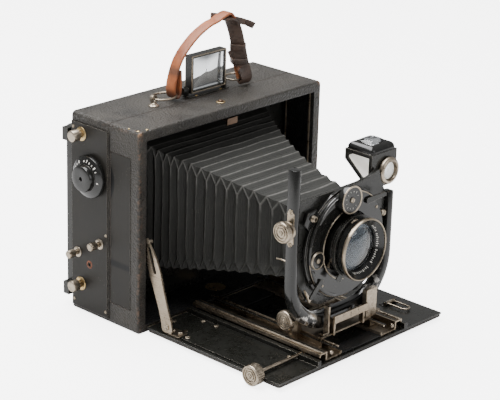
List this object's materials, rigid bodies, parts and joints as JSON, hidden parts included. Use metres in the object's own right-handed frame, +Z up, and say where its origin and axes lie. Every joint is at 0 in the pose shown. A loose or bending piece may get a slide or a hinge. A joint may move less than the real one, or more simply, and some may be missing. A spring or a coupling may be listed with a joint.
{
  "type": "folding plate camera",
  "caption": "Folding plate camera with drop bed, leather bellows, dial-set leaf shutter, focal-plane shutter body, reflecting finder and leather top handle.",
  "frame": {"origin": "on the body's underside, at the middle of its width and depth", "axes": "+Z up, -Y the way the lens looks, +X the camera's right side seen from the front"},
  "size_m": [0.1982, 0.2092, 0.206],
  "materials": {
    "body_leather": "black pebble-grain leather cloth, worn brown at the corners",
    "black_enamel": "semi-gloss black enamel, slightly worn",
    "nickel": "warm nickel plate, slightly tarnished",
    "brass": "aged brass",
    "strap_leather": "tan harness leather, dark with age at one end",
    "bellows_cloth": "black leather cloth with rubbed fold edges",
    "lens_glass": "polished uncoated glass",
    "ground_glass": "finely ground glass"
  },
  "bodies": {
    "root": {"front_body": "body_leather", "shutter_housing": "body_leather", "side_panel": "black_enamel", "side_plate": "black_enamel", "shutter_front_frame": "black_enamel", "focal_curtain": "bellows_cloth", "back_frame": "black_enamel", "ground_glass": "ground_glass", "tripod_bush": "brass", "handle_post_left": "nickel", "handle_post_right": "nickel", "sight_base": "black_enamel", "bed_plate": "black_enamel", "bed_cover": "body_leather", "bed_hinge_rod": "nickel", "pinion_cover": "black_enamel", "strut_left": "nickel", "strut_right": "nickel", "bellows": "bellows_cloth"},
    "winding": {"winding_knob": "black_enamel", "winding_gear": "brass"},
    "upper_roller": {"upper_roller": "nickel", "roller_gear": "brass"},
    "lower_roller": {"lower_roller": "nickel"},
    "release_pin": {"release_pin": "nickel"},
    "time_pin": {"time_pin": "nickel"},
    "catch_upper": {"back_catch_upper": "nickel"},
    "catch_lower": {"back_catch_lower": "nickel"},
    "bed_latch": {"bed_latch": "nickel"},
    "handle": {"handle_ring_left": "nickel", "handle_ring_right": "nickel", "handle_strap": "strap_leather", "handle_buckle": "brass"},
    "sight": {"sight_frame": "black_enamel", "sight_lens": "lens_glass"},
    "wire_loop": {"wire_loop": "nickel"},
    "carriage": {"carriage": "nickel"},
    "focus_drive": {"focus_knob": "nickel", "focus_pinion": "nickel"},
    "standard": {"standard_base": "nickel"},
    "grip_left": {"grip_left": "nickel"},
    "grip_right": {"grip_right": "nickel"},
    "shift_knob": {"shift_knob": "nickel"},
    "cross_frame": {"u_frame": "black_enamel"},
    "rise_knob": {"rise_knob": "nickel"},
    "lens_panel": {"lens_board": "black_enamel", "shutter_case": "black_enamel", "lens_barrel": "black_enamel", "front_lens": "lens_glass", "rear_cell": "black_enamel"},
    "speed_dial": {"speed_dial": "black_enamel"},
    "mode_dial": {"mode_dial": "nickel"},
    "cocking_lever": {"cocking_lever": "black_enamel"},
    "release_lever": {"release_lever": "black_enamel"},
    "aperture": {"aperture_ring": "black_enamel", "iris_plate": "black_enamel"},
    "finder": {"finder_body": "black_enamel", "finder_objective": "nickel", "finder_top_lens": "lens_glass"}
  },
  "joints": [
    {"name": "shutter_winding", "type": "hinge", "parent": "root", "child": "winding", "pos_m": [-0.0946, 0.0126, 0.1075], "axis": [-1, 0, 0], "range_deg": [0, 810]},
    {"name": "upper_roller_turn", "type": "hinge", "parent": "root", "child": "upper_roller", "pos_m": [0, 0.0126, 0.1315], "axis": [-1, 0, 0], "range_deg": [-1042, 0]},
    {"name": "lower_roller_turn", "type": "hinge", "parent": "root", "child": "lower_roller", "pos_m": [0, 0.0126, 0.02], "axis": [-1, 0, 0], "range_deg": [-1042, 0]},
    {"name": "release_press", "type": "slide", "parent": "root", "child": "release_pin", "axis": [1, 0, 0], "range_m": [0, 0.003], "stiffness_N_per_m": 1500},
    {"name": "time_press", "type": "slide", "parent": "root", "child": "time_pin", "axis": [1, 0, 0], "range_m": [0, 0.003], "stiffness_N_per_m": 1500},
    {"name": "upper_catch_press", "type": "slide", "parent": "root", "child": "catch_upper", "axis": [1, 0, 0], "range_m": [0, 0.003], "stiffness_N_per_m": 1500},
    {"name": "lower_catch_press", "type": "slide", "parent": "root", "child": "catch_lower", "axis": [1, 0, 0], "range_m": [0, 0.003], "stiffness_N_per_m": 1500},
    {"name": "bed_latch_press", "type": "slide", "parent": "root", "child": "bed_latch", "axis": [0, 0, -1], "range_m": [0, 0.0012], "stiffness_N_per_m": 1500},
    {"name": "handle_swing", "type": "hinge", "parent": "root", "child": "handle", "pos_m": [0.004, 0.004, 0.155], "axis": [1, 0, 0], "range_deg": [-20, 5]},
    {"name": "sight_fold", "type": "hinge", "parent": "root", "child": "sight", "pos_m": [0.008, 0.0035, 0.1552], "axis": [1, 0, 0], "range_deg": [-88, 0]},
    {"name": "wire_loop_lift", "type": "hinge", "parent": "root", "child": "wire_loop", "pos_m": [0.071, -0.128, 0.0072], "axis": [-1, 0, 0], "range_deg": [0, 95]},
    {"name": "focus_slide", "type": "slide", "parent": "root", "child": "carriage", "axis": [0, -1, 0], "range_m": [0, 0.025], "deforming": ["bellows"]},
    {"name": "focus_drive_turn", "type": "hinge", "parent": "root", "child": "focus_drive", "pos_m": [-0.088, -0.1446, 0.0082], "axis": [1, 0, 0], "range_deg": [0, 574]},
    {"name": "standard_slide", "type": "slide", "parent": "carriage", "child": "standard", "axis": [0, 1, 0], "range_m": [0, 0.045], "deforming": ["bellows"]},
    {"name": "grip_left_pinch", "type": "slide", "parent": "standard", "child": "grip_left", "axis": [1, 0, 0], "range_m": [0, 0.0014], "stiffness_N_per_m": 1500},
    {"name": "grip_right_pinch", "type": "slide", "parent": "standard", "child": "grip_right", "axis": [-1, 0, 0], "range_m": [0, 0.0014], "stiffness_N_per_m": 1500},
    {"name": "cross_slide", "type": "slide", "parent": "standard", "child": "cross_frame", "axis": [1, 0, 0], "range_m": [-0.008, 0.008], "deforming": ["bellows"]},
    {"name": "shift_knob_turn", "type": "hinge", "parent": "standard", "child": "shift_knob", "pos_m": [-0.038, -0.126, 0.026], "axis": [1, 0, 0], "range_deg": [-276, 276]},
    {"name": "rise_slide", "type": "slide", "parent": "cross_frame", "child": "lens_panel", "axis": [0, 0, 1], "range_m": [-0.003, 0.02], "deforming": ["bellows"]},
    {"name": "rise_knob_turn", "type": "hinge", "parent": "cross_frame", "child": "rise_knob", "pos_m": [-0.058, -0.139, 0.1], "axis": [-1, 0, 0], "range_deg": [-52, 344]},
    {"name": "speed_dial_turn", "type": "hinge", "parent": "lens_panel", "child": "speed_dial", "pos_m": [-0.0028, -0.146, 0.1108], "axis": [0, -1, 0], "range_deg": [-150, 150]},
    {"name": "mode_dial_turn", "type": "hinge", "parent": "lens_panel", "child": "mode_dial", "pos_m": [-0.0316, -0.145, 0.0732], "axis": [0, -1, 0], "range_deg": [-40, 40]},
    {"name": "cocking_lever_turn", "type": "hinge", "parent": "lens_panel", "child": "cocking_lever", "pos_m": [0.019, -0.145, 0.104], "axis": [0, 1, 0], "range_deg": [0, 25], "stiffness_Nm_per_rad": 0.05},
    {"name": "release_lever_turn", "type": "hinge", "parent": "lens_panel", "child": "release_lever", "pos_m": [-0.0275, -0.145, 0.056], "axis": [0, -1, 0], "range_deg": [0, 18], "stiffness_Nm_per_rad": 0.05},
    {"name": "aperture_turn", "type": "hinge", "parent": "lens_panel", "child": "aperture", "pos_m": [0, -0.15, 0.077], "axis": [0, 1, 0], "range_deg": [-30, 50]},
    {"name": "finder_swivel", "type": "hinge", "parent": "lens_panel", "child": "finder", "pos_m": [0.0375, -0.1337, 0.117], "axis": [0, -1, 0], "range_deg": [0, 90]}
  ],
  "couplings": [
    {"joint": "upper_roller_turn", "follows": "shutter_winding", "ratio": -1.2857},
    {"joint": "lower_roller_turn", "follows": "shutter_winding", "ratio": -1.2857},
    {"joint": "focus_drive_turn", "follows": "focus_slide", "rad_per_m": 400},
    {"joint": "shift_knob_turn", "follows": "cross_slide", "rad_per_m": 600},
    {"joint": "rise_knob_turn", "follows": "rise_slide", "rad_per_m": 300}
  ]
}
